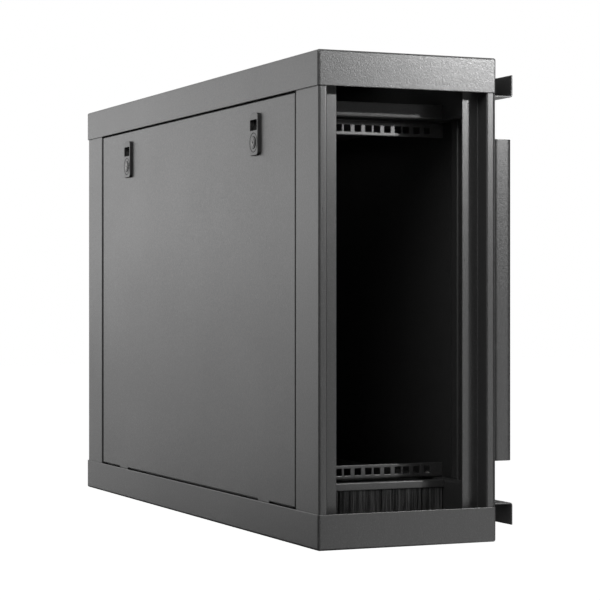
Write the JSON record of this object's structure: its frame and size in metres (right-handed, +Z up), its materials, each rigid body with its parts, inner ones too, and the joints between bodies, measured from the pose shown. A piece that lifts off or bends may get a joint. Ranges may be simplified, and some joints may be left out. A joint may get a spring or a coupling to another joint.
{
  "type": "wall mount network cabinet",
  "caption": "Slim black steel wall cabinet that holds rack equipment on edge behind an open front, with a lift-off latched side panel, brush cable entry and wall rails.",
  "frame": {"origin": "on the wall plane, at the centre of the four wall bolts", "axes": "+X out of the wall side into the wall, +Y from the open front to the rear end, +Z up"},
  "size_m": [0.2929, 0.98, 0.645],
  "materials": {
    "powder_coat": "fine textured black powder coat",
    "latch_coat": "satin dark grey coat on cast zinc",
    "black_plastic": "moulded black plastic",
    "lock_metal": "dull plated lock barrel",
    "zinc_steel": "zinc plated fasteners",
    "bristle": "black nylon bristles"
  },
  "bodies": {
    "housing": {"top_cap": "powder_coat", "bottom_cap": "powder_coat", "panel_ledge": "powder_coat", "latch_keepers": "powder_coat", "wall_panel": "powder_coat", "rear_panel": "powder_coat", "upper_wall_rail": "powder_coat", "lower_wall_rail": "powder_coat", "front_wall_channel": "powder_coat", "rear_wall_channel": "powder_coat", "upper_front_bar": "powder_coat", "brush_holder": "powder_coat", "brush_bristles": "bristle", "cap_nuts": "zinc_steel", "front_rail_bolts": "zinc_steel", "front_rail_nuts": "zinc_steel", "bar_screws": "zinc_steel", "wall_bolts": "zinc_steel", "wall_nuts": "zinc_steel", "wall_panel_screws": "zinc_steel", "rear_panel_screws": "zinc_steel", "front_panel_post": "powder_coat", "front_wall_post": "powder_coat", "rear_panel_post": "powder_coat", "rear_wall_post": "powder_coat", "upper_panel_beam": "powder_coat", "upper_wall_beam": "powder_coat", "upper_front_rail": "powder_coat", "lower_panel_beam": "powder_coat", "lower_wall_beam": "powder_coat", "lower_front_rail": "powder_coat"},
    "side_panel": {"side_panel": "powder_coat", "front_latch_body": "latch_coat", "front_latch_back": "zinc_steel", "rear_latch_body": "latch_coat", "rear_latch_back": "zinc_steel"},
    "front_latch_slider": {"front_latch_slider": "black_plastic"},
    "front_lock": {"front_lock_cylinder": "lock_metal", "front_lock_cam": "zinc_steel"},
    "rear_latch_slider": {"rear_latch_slider": "black_plastic"},
    "rear_lock": {"rear_lock_cylinder": "lock_metal", "rear_lock_cam": "zinc_steel"},
    "upper_rear_rail": {"upper_rear_rail": "powder_coat", "upper_rear_rail_bolts": "zinc_steel", "upper_rear_rail_nuts": "zinc_steel"},
    "lower_rear_rail": {"lower_rear_rail": "powder_coat", "lower_rear_rail_bolts": "zinc_steel", "lower_rear_rail_nuts": "zinc_steel"}
  },
  "joints": [
    {"name": "panel_tilt", "type": "hinge", "parent": "housing", "child": "side_panel", "pos_m": [-0.2888, 0, -0.276], "axis": [0, -1, 0], "range_deg": [0, 25]},
    {"name": "front_latch_slide", "type": "slide", "parent": "side_panel", "child": "front_latch_slider", "axis": [0, 0, 1], "range_m": [0, 0.008]},
    {"name": "front_lock_turn", "type": "hinge", "parent": "side_panel", "child": "front_lock", "pos_m": [-0.2875, -0.273, 0.2175], "axis": [1, 0, 0], "range_deg": [0, 90]},
    {"name": "rear_latch_slide", "type": "slide", "parent": "side_panel", "child": "rear_latch_slider", "axis": [0, 0, 1], "range_m": [0, 0.008]},
    {"name": "rear_lock_turn", "type": "hinge", "parent": "side_panel", "child": "rear_lock", "pos_m": [-0.2875, 0.273, 0.2175], "axis": [1, 0, 0], "range_deg": [0, 90]},
    {"name": "upper_rear_rail_slide", "type": "slide", "parent": "housing", "child": "upper_rear_rail", "axis": [0, -1, 0], "range_m": [0, 0.3]},
    {"name": "lower_rear_rail_slide", "type": "slide", "parent": "housing", "child": "lower_rear_rail", "axis": [0, -1, 0], "range_m": [0, 0.3]}
  ]
}
